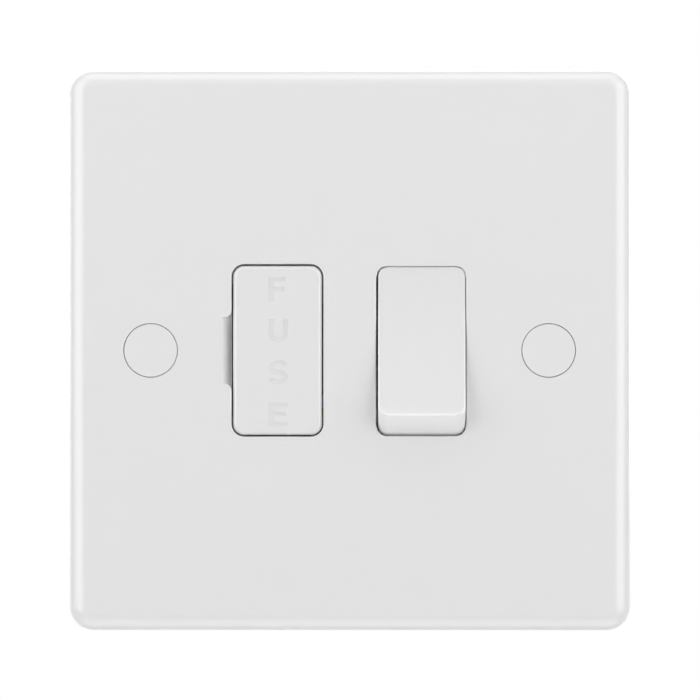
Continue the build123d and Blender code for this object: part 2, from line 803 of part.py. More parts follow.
def fuse_carrier():
    """Drawer with its flush face, fuse cradle, guide tongue and stop lugs."""
    width = drawer_aperture_width - 2 * drawer_gap
    height = drawer_aperture_height - 2 * drawer_gap
    outline = RectangleRounded(width, height, drawer_aperture_r - drawer_gap)
    carrier = prism(Pos(drawer_x, 0) * outline, face_back, front)
    carrier = chamfer(front_edges(carrier), drawer_bevel)
    pry = span(-width, -width / 2 + pry_depth, front + pry_front, front + pry_front + pry_width)
    carrier -= slice_z(Pos(drawer_x, 0) * pry, -pry_length / 2, pry_length / 2)
    bore = fuse_body_r + cradle_clearance
    ring = Circle(bore + cradle_wall) - Circle(bore)
    ring -= span(-2 * bore, 0, -cradle_mouth / 2, cradle_mouth / 2)
    neck = span(0, tongue_in, face_back - fuse_y, fuse_depth - drawer_face_t) - Circle(bore)
    cradle = Pos(drawer_x, fuse_y) * (ring + neck)
    carrier += slice_z(cradle, -cradle_half, cradle_half)
    tongue_end = face_back + tongue_reach
    left = drawer_x + tongue_in
    right = drawer_x + tongue_out
    tongue = span(face_back, tongue_end, -tongue_half, tongue_half)
    tongue += span(tongue_end - lug_length, tongue_end, -lug_half, lug_half)
    return carrier + slice_x(tongue, left, right)


def fuse_body():
    """Ceramic barrel of the cartridge fuse."""
    half = fuse_half - fuse_cap_skin
    return slice_z(Pos(drawer_x, fuse_y) * Circle(fuse_body_r), -half, half)


def fuse_cap(up):
    """Plated end cap of the cartridge fuse."""
    ends = sorted((up * (fuse_half - fuse_cap_length), up * fuse_half))
    inside = sorted((up * (fuse_half - fuse_cap_length), up * (fuse_half - fuse_cap_skin)))
    cap = slice_z(Pos(drawer_x, fuse_y) * Circle(fuse_cap_r), *ends)
    return cap - slice_z(Pos(drawer_x, fuse_y) * Circle(fuse_body_r + rivet_clearance), *inside)


def screw_cap(x):
    """Snap cap, flush with the plate, on legs that stand round the head of a fixing screw."""
    cap = chamfer(front_edges(rod(x, 0, cap_d / 2, front + cap_skin, front)), cap_bevel)
    leg_out = sqrt((cap_d / 2) ** 2 - (cap_leg_width / 2) ** 2)
    leg = Rectangle(cap_leg_t, cap_leg_width)
    for place in PolarLocations(leg_out - cap_leg_t / 2, cap_legs):
        cap += prism(Pos(x, 0) * place * leg, screw_seat - seat_clearance, front + cap_skin)
    return cap


def fixing_screw(x):
    """Machine screw through the plate into the wall box."""
    head = screw_bar(x, 0, screw_head_r, screw_seat, screw_seat - screw_head_height)
    neck = screw_bar(x, 0, screw_neck_r, wall, screw_seat)
    return head + neck + rod(x, 0, screw_r, screw_seat + screw_length, wall)


def nodes():
    """Every sub-part by name."""
    made = {
        "front_plate": front_plate(),
        "rear_housing": rear_housing(),
        "rocker": rocker(),
        "fuse_carrier": fuse_carrier(),
        "fuse_body": fuse_body(),
        "fuse_cap_top": fuse_cap(1),
        "fuse_cap_bottom": fuse_cap(-1),
        "fuse_clip_in": fuse_clip(clip_z),
        "fuse_clip_out": fuse_clip(-clip_z),
        "live_link": live_link(),
        "live_out_link": live_out_link(),
        "neutral_bracket": neutral_bracket(),
        "earth_strap": earth_strap(),
        "screw_cap_left": screw_cap(-fixing_x),
        "screw_cap_right": screw_cap(fixing_x),
    }
    for name, (x, peg_x, z) in terminals.items():
        made[name] = terminal(x, peg_x, z)
    for pole, x in (("live", live_x), ("neutral", neutral_x)):
        made[pole + "_fixed_contact"] = fixed_contact(x)
        made[pole + "_fixed_tip"] = fixed_tip(x)
        made[pole + "_contact_arm"] = contact_arm(x)
        made[pole + "_moving_tip"] = moving_tip(x)
        made[pole + "_plunger"] = plunger(x)
        made[pole + "_plunger_spring"] = plunger_spring(x)
    screws = [terminal_screw(x, z) for x, peg_x, z in terminals.values()]
    made["terminal_screws"] = Compound(screws)
    made["fixing_screws"] = Compound([fixing_screw(side * fixing_x) for side in sides])
    return made


def main():
    """Write one STEP file for each sub-part."""
    os.makedirs("parts", exist_ok=True)
    for name, shape in nodes().items():
        export_step(shape, f"parts/{name}.step")


main()
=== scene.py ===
"""Dresses a packed fused spur unit: a white moulded wall plate with a fuse drawer, a rocker switch
and two screw caps, lit softly and seen square from the front."""

import json
from contextlib import contextmanager
from math import pi, radians

import bmesh
import bpy
import numpy as np
from bpy.props import FloatProperty, FloatVectorProperty, IntProperty, PointerProperty
from bpy.types import Operator, Panel, PropertyGroup
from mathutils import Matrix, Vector


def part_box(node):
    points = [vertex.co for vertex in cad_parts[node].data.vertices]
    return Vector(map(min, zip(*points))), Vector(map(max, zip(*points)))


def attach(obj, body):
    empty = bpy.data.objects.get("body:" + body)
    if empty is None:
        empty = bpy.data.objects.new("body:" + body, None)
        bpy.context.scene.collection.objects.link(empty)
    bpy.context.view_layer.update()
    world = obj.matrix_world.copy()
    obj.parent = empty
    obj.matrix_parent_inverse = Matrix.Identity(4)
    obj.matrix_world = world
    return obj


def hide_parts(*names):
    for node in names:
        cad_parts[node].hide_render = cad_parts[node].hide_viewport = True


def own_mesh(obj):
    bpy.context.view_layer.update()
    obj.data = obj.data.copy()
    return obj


bl_info = {
    "name": "Fused spur unit",
    "version": (1, 0, 0),
    "blender": (4, 5, 0),
    "location": "View3D > Sidebar > Fused spur",
    "description": "Gives the mouldings, lettering, screws, fuse and studio of a fused spur unit",
    "category": "Add Mesh",
}

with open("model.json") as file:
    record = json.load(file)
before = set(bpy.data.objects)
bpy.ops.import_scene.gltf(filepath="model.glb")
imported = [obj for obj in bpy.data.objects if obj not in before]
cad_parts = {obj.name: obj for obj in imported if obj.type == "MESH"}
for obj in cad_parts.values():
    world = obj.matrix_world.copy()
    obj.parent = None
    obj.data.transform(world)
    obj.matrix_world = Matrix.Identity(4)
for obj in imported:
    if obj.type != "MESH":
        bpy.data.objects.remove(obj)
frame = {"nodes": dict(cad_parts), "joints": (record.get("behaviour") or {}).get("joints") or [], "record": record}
NODES = frame["nodes"]
BODY_OF = {node: body for body, nodes in frame["record"]["behaviour"]["bodies"].items() for node in nodes}
JOINTS = {joint["name"]: joint for joint in frame["joints"]}
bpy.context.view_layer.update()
MM = 0.001
SHARP = 50.0
SQUARE = np.array([(-1, -1), (1, -1), (1, 1), (-1, 1)])
TERMINALS = [f"{line}_{end}_terminal" for line in ("live", "neutral", "earth") for end in ("in", "out")]


def length_mm(name, description, default):
    """A length as a setting, given in millimetres and kept in metres."""
    return FloatProperty(name=name, description=description, unit="LENGTH", default=default * MM)


def angle_deg(name, description, default):
    """An angle as a setting, given in degrees and kept in radians."""
    return FloatProperty(name=name, description=description, subtype="ANGLE", default=radians(default))


def share(name, description, default):
    """A share from 0 to 1 as a setting."""
    return FloatProperty(
        name=name, description=description, subtype="FACTOR", min=0.0, max=1.0, default=default)


def number(name, description, default):
    """A plain number as a setting."""
    return FloatProperty(name=name, description=description, default=default)


class SpurPlastic(PropertyGroup):
    """Colour and surface of the moulded pieces."""

    white: FloatVectorProperty(
        name="White", description="Colour of the plate, drawer, rocker and caps",
        subtype="COLOR", min=0.0, max=1.0, default=(0.70, 0.70, 0.70))
    housing: FloatVectorProperty(
        name="Housing", description="Colour of the housing behind the plate",
        subtype="COLOR", min=0.0, max=1.0, default=(0.72, 0.72, 0.70))
    gloss_roughness: share("Gloss roughness", "Roughness of the polished front mouldings", 0.27)
    rim_roughness: share("Rim roughness", "Roughness of the plate's outermost rim, left duller", 0.6)
    satin_roughness: share("Satin roughness", "Roughness of the housing", 0.46)
    ripple: length_mm("Ripple", "Depth of the faint ripple on the polished mouldings", 0.0003)
    spark: length_mm("Spark texture", "Depth of the fine eroded texture on the housing", 0.008)


class SpurNotch(PropertyGroup):
    """Sizes of the screwdriver notch beside the drawer."""

    width: length_mm("Width", "From the notch's outer edge to the drawer's opening", 1.35)
    length: length_mm("Length", "Length of the notch down the drawer's side", 10.12)
    flare: length_mm("Flare", "Radius by which its ends open out at the drawer", 1.0)
    depth: length_mm("Depth", "Depth of the notch at the drawer", 1.35)
    hollow: number("Hollow", "How hollow its floor is, where 1 is a straight slope", 1.7)
    gap: length_mm("Gap", "Gap round the drawer", 0.22)


class SpurLettering(PropertyGroup):
    """Sizes of the word sunk in the drawer and of the marks beside the terminals."""

    height: length_mm("Height", "Height of a capital", 3.48)
    stem: length_mm("Stem", "Width of the upright strokes", 0.66)
    bar: length_mm("Bar", "Width of the level strokes", 0.52)
    pitch: length_mm("Pitch", "Step from one letter down to the next", 6.33)
    first: length_mm("First letter", "Height of the first letter's middle above the drawer's", 9.26)
    inset: length_mm("Inset", "From the drawer's middle to the left edge of the word", -1.28)
    drawer_bevel: length_mm("Drawer bevel", "Bevel round the drawer's face", 0.4)
    rim: length_mm("Rim", "Width of the eased edge round each letter", 0.2)
    rim_depth: length_mm("Rim depth", "How far the eased edge dips", 0.07)
    depth: length_mm("Depth", "How deep the word is sunk", 0.13)
    mark_lift: length_mm("Mark lift", "How far the terminal marks stand out of the housing", 0.25)


class SpurScrews(PropertyGroup):
    """Sizes of the threads and slots of the screws."""

    thread_pitch: length_mm("Pitch", "Pitch of the threads", 0.6)
    thread_depth: length_mm("Thread depth", "Depth of the threads", 0.33)
    slot_width: length_mm("Slot width", "Width of the slots in the heads", 0.9)
    slot_depth: length_mm("Slot depth", "Depth of the slots in the heads", 0.9)
    sides: IntProperty(name="Sides", description="Points round a screw", default=48)


class SpurRocker(PropertyGroup):
    """Sizes of the rocker that its solid doesn't give directly."""

    edge: length_mm("Edge", "Radius of the rounded edges down the sides", 0.4)
    end_edge: length_mm("End edge", "Radius of the edges along the two ends", 0.04)
    dish: length_mm("Dish", "How far the face is hollowed between its ends", 0.85)
    corner: length_mm("Corner", "Radius of the corners seen from the front", 1.7)
    ridge: length_mm("Ridge", "Width of the fine ridge along each end of the face", 0.28)
    ridge_rise: length_mm("Ridge rise", "How far the lower ridge stands above the face", 0.2)
    upper_ridge: share("Upper ridge", "Share of that rise in the ridge along the upper end", 0.3)
    crest: length_mm("Crest", "How far the ridges' crests lie behind the solid's foremost point", 0.05)
    wall: length_mm("Wall", "Thickness of the shell", 1.5)
    skirt: length_mm("Skirt", "Depth of the shell behind its face", 6.6)
    pin: length_mm("Pin", "Radius of the two pins it turns on", 1.5)
    lobe: length_mm("Lobe", "Width of the lobe round a pin", 1.1)
    tube_wall: length_mm("Tube wall", "Wall of the tubes that guide the plungers", 0.95)
    tube_gap: length_mm("Tube gap", "Gap between a plunger and its tube", 0.08)
    tube_reach: length_mm("Tube reach", "How far the tubes reach behind the pins", 4.2)


class SpurStudio(PropertyGroup):
    """Camera, floor and lamps."""

    distance: length_mm("Distance", "From the camera to the front face", 650.0)
    lens: FloatProperty(name="Lens", description="Focal length in millimetres", unit="CAMERA", default=220.7)
    camera_right: length_mm("Camera right", "How far the camera stands right of the middle", 4.5)
    camera_up: length_mm("Camera up", "How far the camera stands above the middle", 5.0)
    floor_drop: length_mm("Floor drop", "From the middle of the unit down to the floor", 650.0)
    floor_white: share("Floor white", "Share of plain white in the floor as seen or mirrored", 0.85)
    ambient: number("Ambient", "Strength of the white surroundings as light on dull surfaces", 0.05)
    side_angle: angle_deg("Side angle", "Angle of the side lamps from the camera's axis", 54)
    side_lift: angle_deg("Side lift", "Angle of the side lamps above the middle", 14)
    side_glow: number("Side glow", "Brightness of the side lamps' faces", 2.62)
    edge_angle: angle_deg("Edge angle", "Angle of the dim lamps that graze the sides", 86)
    edge_glow: number("Edge glow", "Brightness of those dim lamps' faces", 0.7)
    top_angle: angle_deg("Top angle", "Angle of the lamp overhead", 77)
    top_glow: number("Top glow", "Brightness of the overhead lamp's face", 1.75)
    low_angle: angle_deg("Low angle", "Angle of the lamp below", 70)
    low_glow: number("Low glow", "Brightness of the low lamp's face", 1.22)
    back_glow: number("Back glow", "Brightness of the lamp behind, which the front doesn't see", 2.6)


class Finish:
    """A material whose shader is fed by patterns on Object coordinates, in metres."""

    def __init__(self, name, **values):
        self.material = bpy.data.materials.new(name)
        self.material.use_nodes = True
        self.tree = self.material.node_tree
        self.shader = self.tree.nodes["Principled BSDF"]
        self.place = self.add("ShaderNodeTexCoord").outputs["Object"]
        for socket, value in values.items():
            self.shader.inputs[socket.replace("_", " ")].default_value = value

    def add(self, kind, inputs=None, **settings):
        """Adds a node, sets it up, and links or sets its inputs."""
        node = self.tree.nodes.new(kind)
        for name, value in settings.items():
            setattr(node, name, value)
        for name, value in (inputs or {}).items():
            if isinstance(value, bpy.types.NodeSocket):
                self.tree.links.new(value, node.inputs[name])
            else:
                node.inputs[name].default_value = value
        return node

    def cloud(self, size, detail=2.0, stretch=(1.0, 1.0, 1.0)):
        """Cloudy pattern with patches about size across, drawn out along the axes by stretch."""
        scale = [1.0 / (size * long) for long in stretch]
        where = self.add("ShaderNodeMapping", {"Vector": self.place, "Scale": scale}).outputs["Vector"]
        inputs = {"Vector": where, "Scale": 1.0, "Detail": detail}
        return self.add("ShaderNodeTexNoise", inputs).outputs["Fac"]

    def between(self, pattern, low, high):
        """Spreads a pattern's middle range over low to high."""
        inputs = {"Value": pattern, "From Min": 0.3, "From Max": 0.7, "To Min": low, "To Max": high}
        return self.add("ShaderNodeMapRange", inputs).outputs["Result"]

    def tint(self, pattern, one, other):
        """Feeds the shader's colour from one to the other by the pattern."""
        mix = self.add("ShaderNodeMix", data_type="RGBA")
        for socket in mix.inputs:
            if socket.type == "RGBA":
                socket.default_value = (*(one if socket.name == "A" else other), 1.0)
        self.tree.links.new(self.between(pattern, 0.0, 1.0), mix.inputs["Factor"])
        colour = next(socket for socket in mix.outputs if socket.type == "RGBA")
        self.tree.links.new(colour, self.shader.inputs["Base Color"])

    def roughen(self, pattern, low, high):
        """Feeds the shader's roughness from low to high by the pattern."""
        self.tree.links.new(self.between(pattern, low, high), self.shader.inputs["Roughness"])

    def rim(self, half, corner, start, end):
        """0 inside a rounded square, rising to 1 near its outline: by the length of max(|x| - half + corner,
        0) over x and z, which runs from corner - start to corner - end."""
        past = self.place
        for operation, other in (
                ("MULTIPLY", (1.0, 0.0, 1.0)), ("ABSOLUTE", (0.0, 0.0, 0.0)),
                ("SUBTRACT", (half - corner, 0.0, half - corner)), ("MAXIMUM", (0.0, 0.0, 0.0))):
            node = self.add("ShaderNodeVectorMath", {0: past, 1: other}, operation=operation)
            past = node.outputs["Vector"]
        reach = self.add("ShaderNodeVectorMath", {0: past}, operation="LENGTH").outputs["Value"]
        inputs = {"Value": reach, "From Min": corner - start, "From Max": corner - end}
        return self.add("ShaderNodeMapRange", inputs).outputs["Result"]

    def bump(self, pattern, depth):
        """Raises the surface by the pattern, depth from its lowest to its highest."""
        bump = self.add("ShaderNodeBump", {"Height": pattern, "Distance": depth, "Strength": 1.0})
        self.tree.links.new(bump.outputs["Normal"], self.shader.inputs["Normal"])


def shade(colour, amount):
    """A colour made darker, to an amount of itself."""
    return tuple(amount * part for part in colour)


def gloss_white():
    """Polished white moulding: slight cloudiness, uneven gloss, a duller rim, a faint ripple."""
    plastic = bpy.context.scene.spur_plastic
    gloss = plastic.gloss_roughness
    finish = Finish("gloss_white_plastic", IOR=1.56, Coat_Weight=0.25, Coat_Roughness=gloss)
    finish.tint(finish.cloud(11 * MM), tuple(plastic.white), shade(plastic.white, 0.997))
    polish = finish.between(finish.cloud(2 * MM), gloss - 0.003, gloss + 0.003)
    rim = finish.rim(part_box("front_plate")[1].x, corner=4 * MM, start=0.8 * MM, end=0.2 * MM)
    inputs = {"Factor": rim, "A": polish, "B": plastic.rim_roughness}
    duller = finish.add("ShaderNodeMix", inputs, data_type="FLOAT")
    finish.tree.links.new(duller.outputs["Result"], finish.shader.inputs["Roughness"])
    finish.bump(finish.cloud(0.6 * MM, detail=1.0), plastic.ripple)
    return finish.material


def sunk_floor_painted_shade():
    """Floor of the sunk word: the same plastic, left duller by the tool, with painted shade: its colour is a
    little darker to stand in for shade in the recess.
    """
    plastic = bpy.context.scene.spur_plastic
    finish = Finish("sunk_plastic_painted_shade", IOR=1.56)
    # Painted shade: the floor's colour is set 3 to 4 percent darker than the white, for shade in the recess
    finish.tint(finish.cloud(4 * MM), shade(plastic.white, 0.968), shade(plastic.white, 0.962))
    finish.roughen(finish.cloud(0.5 * MM), plastic.satin_roughness, plastic.satin_roughness + 0.06)
    finish.bump(finish.cloud(0.2 * MM), plastic.ripple)
    return finish.material


def satin_white():
    """Housing moulding with a fine spark-eroded texture."""
    plastic = bpy.context.scene.spur_plastic
    finish = Finish("satin_housing_plastic", IOR=1.5)
    finish.tint(finish.cloud(8 * MM), tuple(plastic.housing), shade(plastic.housing, 0.95))
    finish.roughen(finish.cloud(0.7 * MM), plastic.satin_roughness - 0.05, plastic.satin_roughness + 0.05)
    finish.bump(finish.cloud(0.22 * MM, detail=3.0), plastic.spark)
    return finish.material


def mottled(name, colours, patch, roughness, polish, depth, grain, **shader):
    """Finish whose colour, roughness and relief each follow a cloud: patch, polish and grain give that
    cloud's size in millimetres, its detail and its stretch."""
    finish = Finish(name, **shader)
    patch, polish, grain = (finish.cloud(size * MM, *rest) for size, *rest in (patch, polish, grain))
    finish.tint(patch, *colours)
    finish.roughen(polish, *roughness)
    finish.bump(grain, depth * MM)
    return finish.material


LOOKS = {
    # Fine drawn lines and a little tarnish
    "brass": dict(
        name="machined_brass", colours=((0.78, 0.55, 0.25), (0.62, 0.41, 0.17)), patch=(1.6, 4.0),
        roughness=(0.22, 0.42), polish=(0.12, 2.0, (1, 1, 14)), depth=0.004, grain=(0.08, 2.0, (1, 1, 30)),
        Metallic=1.0),
    # Rolling lines along the strip
    "clip_bronze": dict(
        name="rolled_bronze", colours=((0.72, 0.47, 0.28), (0.60, 0.37, 0.21)), patch=(1.8, 3.0),
        roughness=(0.2, 0.38), polish=(0.1, 2.0, (1, 20, 1)), depth=0.003, grain=(0.07, 2.0, (1, 40, 1)),
        Metallic=1.0),
    # Bright plating on steel, slightly blotched
    "zinc_steel": dict(
        name="zinc_plate", colours=((0.74, 0.75, 0.77), (0.62, 0.64, 0.66)), patch=(0.9, 3.0),
        roughness=(0.24, 0.4), polish=(0.3,), depth=0.004, grain=(0.15,), Metallic=1.0),
    # Nickel with rings of fine tool marks
    "plated_cap": dict(
        name="nickel_plate", colours=((0.76, 0.73, 0.67), (0.66, 0.63, 0.58)), patch=(1.2,),
        roughness=(0.16, 0.3), polish=(0.09, 2.0, (20, 20, 1)), depth=0.003, grain=(0.09, 2.0, (30, 30, 1)),
        Metallic=1.0),
    # Worn bright in patches
    "contact_silver": dict(
        name="contact_silver", colours=((0.91, 0.89, 0.85), (0.72, 0.69, 0.64)), patch=(0.7, 4.0),
        roughness=(0.18, 0.34), polish=(0.2,), depth=0.004, grain=(0.12,), Metallic=1.0),
    # Drawn wire, oiled and slightly blue
    "spring_steel": dict(
        name="spring_steel", colours=((0.52, 0.53, 0.56), (0.42, 0.43, 0.45)), patch=(0.5,),
        roughness=(0.2, 0.34), polish=(0.1,), depth=0.002, grain=(0.05,), Metallic=1.0),
    # Uncoloured and slightly cloudy
    "nylon": dict(
        name="natural_nylon", colours=((0.80, 0.77, 0.69), (0.74, 0.71, 0.62)), patch=(1.4,),
        roughness=(0.4, 0.5), polish=(0.4,), depth=0.004, grain=(0.2,), IOR=1.53),
    # Fired tube: off-white, finely speckled, dull
    "fuse_ceramic": dict(
        name="fuse_ceramic", colours=((0.82, 0.80, 0.74), (0.74, 0.71, 0.64)), patch=(0.25, 4.0),
        roughness=(0.42, 0.58), polish=(0.5,), depth=0.01, grain=(0.12, 3.0), IOR=1.55),
}
WHITES = {"white_plastic": gloss_white, "housing_plastic": satin_white}
MADE = {}


def finish_of(slot):
    """The material of a slot, made once."""
    if slot not in MADE:
        MADE[slot] = WHITES[slot]() if slot in WHITES else mottled(**LOOKS[slot])
    return MADE[slot]


def joined(*parts):
    """Arrays or single values, spread to one shape and joined as the coordinates or corners of each item."""
    return np.stack(np.broadcast_arrays(*parts), axis=-1)


def stacked(rings):
    """Skin through rings of points, one after the next, with a flat face on the first and the last."""
    levels, around = rings.shape[:2]
    grid = np.arange(levels * around).reshape(levels, around)
    ahead = np.roll(grid, -1, axis=1)
    sides = joined(grid[:-1], ahead[:-1], ahead[1:], grid[1:]).reshape(-1, 4)
    return rings.reshape(-1, 3), [sides, grid[:1, ::-1], grid[-1:]]


@contextmanager
def edited(mesh, sharp=SHARP):
    """Opens a mesh to be worked on, then leaves it smooth except over edges past the sharp angle."""
    work = bmesh.new()
    work.from_mesh(mesh)
    yield work
    work.to_mesh(mesh)
    work.free()
    mesh.shade_smooth()
    mesh.set_sharp_from_angle(angle=radians(sharp))


def mesh_of(name, skins, sharp=40.0):
    """Mesh of several closed skins, each turned outwards, smooth except over edges past the sharp angle,
    in degrees."""
    starts = np.cumsum([0] + [len(points) for points, _ in skins])
    points = np.concatenate([points for points, _ in skins])
    faces = []
    for start, (_, groups) in zip(starts, skins):
        for group in groups:
            faces.extend((group + start).tolist())
    mesh = bpy.data.meshes.new(name)
    mesh.from_pydata(points.tolist(), [], faces)
    with edited(mesh, sharp) as work:
        bmesh.ops.recalc_face_normals(work, faces=work.faces)
    return mesh


def merged_copy(node, name):
    """Copy of a node's mesh with its loose triangles joined and its flat faces made whole."""
    mesh = NODES[node].data.copy()
    mesh.name = name
    mesh.materials.clear()
    if "custom_normal" in mesh.attributes:
        mesh.attributes.remove(mesh.attributes["custom_normal"])
    with edited(mesh) as work:
        bmesh.ops.remove_doubles(work, verts=work.verts, dist=0.002 * MM)
        bmesh.ops.dissolve_limit(work, angle_limit=radians(0.2), verts=work.verts, edges=work.edges)
    return mesh


def added(name, data):
    """A new object in the scene."""
    thing = bpy.data.objects.new(name, data)
    bpy.context.scene.collection.objects.link(thing)
    return thing


def place(name, mesh, slot, body, nodes=()):
    """Puts a mesh into the scene as a piece that rides on a body and stands for the nodes."""
    mesh.materials.append(finish_of(slot))
    piece = added(name, mesh)
    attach(piece, body)
    if nodes:
        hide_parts(*nodes)
    return piece


def round_bevel(mesh, face, bevel):
    """Rounds a front bevel: the edges along its borders, at the face and behind it, are beveled again."""
    near = 0.02 * MM
    levels = (face, face + bevel)
    with edited(mesh) as work:
        borders = [edge for edge in work.edges
                   if any(all(abs(end.co.y - level) < near for end in edge.verts) for level in levels)]
        bmesh.ops.bevel(work, geom=borders, offset=0.38 * bevel, offset_type="OFFSET", segments=3,
                        profile=0.5, affect="EDGES", clamp_overlap=True)


def even_shading(piece):
    """Lets large flat faces keep their own shade, so that small bevels shade as rounded edges."""
    even = piece.modifiers.new("Even shading", "WEIGHTED_NORMAL")
    even.mode = "FACE_AREA"
    even.weight = 100
    even.keep_sharp = True


def cut(piece, cutter_mesh):
    """Takes a cutter's volume out of a piece and keeps the result as its mesh."""
    cutter = added("cutter", cutter_mesh)
    modifier = piece.modifiers.new("Cut", "BOOLEAN")
    modifier.operation = "DIFFERENCE"
    modifier.solver = "EXACT"
    modifier.object = cutter
    modifier.material_mode = "TRANSFER"
    before = len(piece.data.polygons)
    solid = piece.evaluated_get(bpy.context.evaluated_depsgraph_get())
    mesh = bpy.data.meshes.new_from_object(solid)
    piece.modifiers.remove(modifier)
    if len(mesh.polygons) == before:
        raise RuntimeError(f"the cut in {piece.name} left no mark")
    mesh.set_sharp_from_angle(angle=radians(SHARP))
    piece.data = mesh
    bpy.data.objects.remove(cutter)


def moulding(node, slot, hollow=None):
    """A node's own solid, less the hollow if there is one, with its edges shaded as rounded."""
    piece = place(f"{node}_moulding", merged_copy(node, node), slot, BODY_OF[node], [node])
    if hollow:
        cut(piece, hollow)
    even_shading(piece)


def middle(node):
    """Middle of a node's box."""
    low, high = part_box(node)
    return (low + high) / 2


def points_of(node):
    """A node's points as an array."""
    vertices = NODES[node].data.vertices
    flat = np.empty(3 * len(vertices))
    vertices.foreach_get("co", flat)
    return flat.reshape(-1, 3)


def turned(points, angle, centre):
    """Points turned about the line along X through centre: y and z go round by the angle."""
    y = points[..., 1] - centre[1]
    z = points[..., 2] - centre[2]
    around_y = y * np.cos(angle) - z * np.sin(angle)
    around_z = y * np.sin(angle) + z * np.cos(angle)
    return joined(points[..., 0], centre[1] + around_y, centre[2] + around_z)


def rocker_rest():
    """The point that the rocker turns about and its angle at rest, half its travel off upright."""
    joint = JOINTS["rocker_tilt"]
    low, high = joint["range_deg"]
    return Vector(joint["pos_m"]), -radians(high - low) / 2


def grown(outline, amount):
    """Closed outline moved outwards: each point goes along the sum of its two edges' normals, mitred."""
    following = np.roll(outline, -1, axis=0)
    edge = following - outline
    twice_area = np.sum(outline[:, 0] * following[:, 1] - outline[:, 1] * following[:, 0])
    normal = joined(edge[:, 1], -edge[:, 0]) / np.linalg.norm(edge, axis=1)[:, None]
    ahead = normal * np.sign(twice_area)
    behind = np.roll(ahead, 1, axis=0)
    mitre = (ahead + behind) / (1 + np.sum(ahead * behind, axis=1))[:, None]
    return outline + amount * mitre


def prism(outline, levels):
    """Outline in X and Z carried along Y: at each (y, growth) level the outline is grown by that much."""
    rings = [np.insert(grown(outline, growth), 1, y, axis=1) for y, growth in levels]
    return stacked(np.stack(rings))


def ribbon(line, half):
    """Outline of a stroke: the centre line moved half a width to one side, and back along the other."""
    along = np.gradient(line, axis=0)
    along /= np.linalg.norm(along, axis=1)[:, None]
    aside = half * joined(-along[:, 1], along[:, 0])
    return np.concatenate([line + aside, (line - aside)[::-1]])


def letter_f(width, height, stem, bar):
    """Capital F: an upright, a full bar at its head and a shorter one at its middle."""
    low = 0.50 * height - bar / 2
    short = 0.92 * width
    return np.array([
        (0, 0), (stem, 0), (stem, low), (short, low), (short, low + bar), (stem, low + bar),
        (stem, height - bar), (width, height - bar), (width, height), (0, height)])


def letter_e(width, height, stem, bar):
    """Capital E: an upright with full bars at head and foot and a shorter one between."""
    low = 0.53 * height - bar / 2
    short = 0.94 * width
    return np.array([
        (0, 0), (width, 0), (width, bar), (stem, bar), (stem, low), (short, low), (short, low + bar),
        (stem, low + bar), (stem, height - bar), (width, height - bar), (width, height), (0, height)])


def letter_u(width, height, stem):
    """Capital U: two uprights joined by a half circle, as one stroke."""
    radius = (width - stem) / 2
    angle = np.linspace(pi, 2 * pi, 25)
    bowl = radius + radius * joined(np.cos(angle), np.sin(angle))
    top = height - stem / 2
    line = np.concatenate([[(0, top)], bowl, [(2 * radius, top)]])
    return ribbon(line, stem / 2) + stem / 2


def letter_s(width, height, stroke):
    """Capital S: two ellipse arcs, one above the other, that meet level in the middle."""
    reach = (width - stroke) / 2
    rise = (height - stroke) / 4
    upper = np.radians(np.linspace(22, 270, 28))
    lower = np.radians(np.linspace(90, -158, 28))[1:]
    top = joined(reach * np.cos(upper), rise + rise * np.sin(upper))
    foot = joined(reach * np.cos(lower), -rise + rise * np.sin(lower))
    return ribbon(np.concatenate([top, foot]), stroke / 2) + (width / 2, height / 2)


def word_outlines(sizes):
    """The word that names what the drawer holds, read downwards, each letter from the same left edge."""
    tall = sizes.height
    stroke = (sizes.stem + sizes.bar) / 2
    letters = [
        letter_f(0.69 * tall, tall, sizes.stem, sizes.bar),
        letter_u(0.81 * tall, tall, sizes.stem),
        letter_s(0.80 * tall, 1.02 * tall, stroke),
        letter_e(0.77 * tall, tall, sizes.stem, sizes.bar)]
    drawer = middle("fuse_carrier")
    left = drawer.x + sizes.inset
    steps = sizes.first - sizes.pitch * np.arange(len(letters))
    return [letter + (left, step - tall / 2) for letter, step in zip(letters, steps)]


def notch_hollow(sizes):
    """Hollow of the notch, as rectangles in Y and Z stepped along X towards the drawer. Its floor sinks by
    depth(1-(1-t)^hollow), and near the drawer each end flares out by flare(1-cos a) over flare sin a."""
    drawer = points_of("fuse_carrier")
    rim = drawer[drawer[:, 1] < drawer[:, 1].min() + MM]
    edge = rim[:, 0].min() - sizes.gap
    level = (rim[:, 2].min() + rim[:, 2].max()) / 2
    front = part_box("front_plate")[0].y
    step = np.linspace(0.01, 1, 8)[:-1]
    turn = np.linspace(0, pi / 2, 14)
    straight = sizes.flare - sizes.width + (sizes.width - sizes.flare) * step
    x = edge - sizes.flare + np.concatenate([
        straight, sizes.flare * np.sin(turn), [sizes.flare + sizes.gap]])
    half = sizes.length / 2 + np.concatenate([0 * step, sizes.flare * (1 - np.cos(turn)), [sizes.flare]])
    t = ((x - edge) / sizes.width + 1).clip(0, 1)
    floor = front + sizes.depth * (1 - (1 - t) ** sizes.hollow)
    above = front - MM
    y = joined(above, above, floor, floor)
    z = level + half[:, None] * np.array([-1, 1, 1, -1])
    return mesh_of("notch", [stacked(joined(x[:, None], y, z))])


def outline_path(arc_steps=11, side_steps=24):
    """Path round a rectangle from the middle of its foot, up the right side and down the left: the angle of
    the outward direction, how far up the straight side each point lies (-1 to 1), and its side."""
    low = np.linspace(-pi / 2, 0, arc_steps)
    straight = np.linspace(-1, 1, side_steps + 2)[1:-1]
    angle = np.concatenate([low, np.zeros(side_steps), -low[::-1]])
    run = np.concatenate([np.full(arc_steps, -1.0), straight, np.ones(arc_steps)])
    side = np.ones(len(run))
    halves = ((angle, pi - angle[::-1]), (run, run[::-1]), (side, -side))
    return tuple(np.concatenate(half) for half in halves)


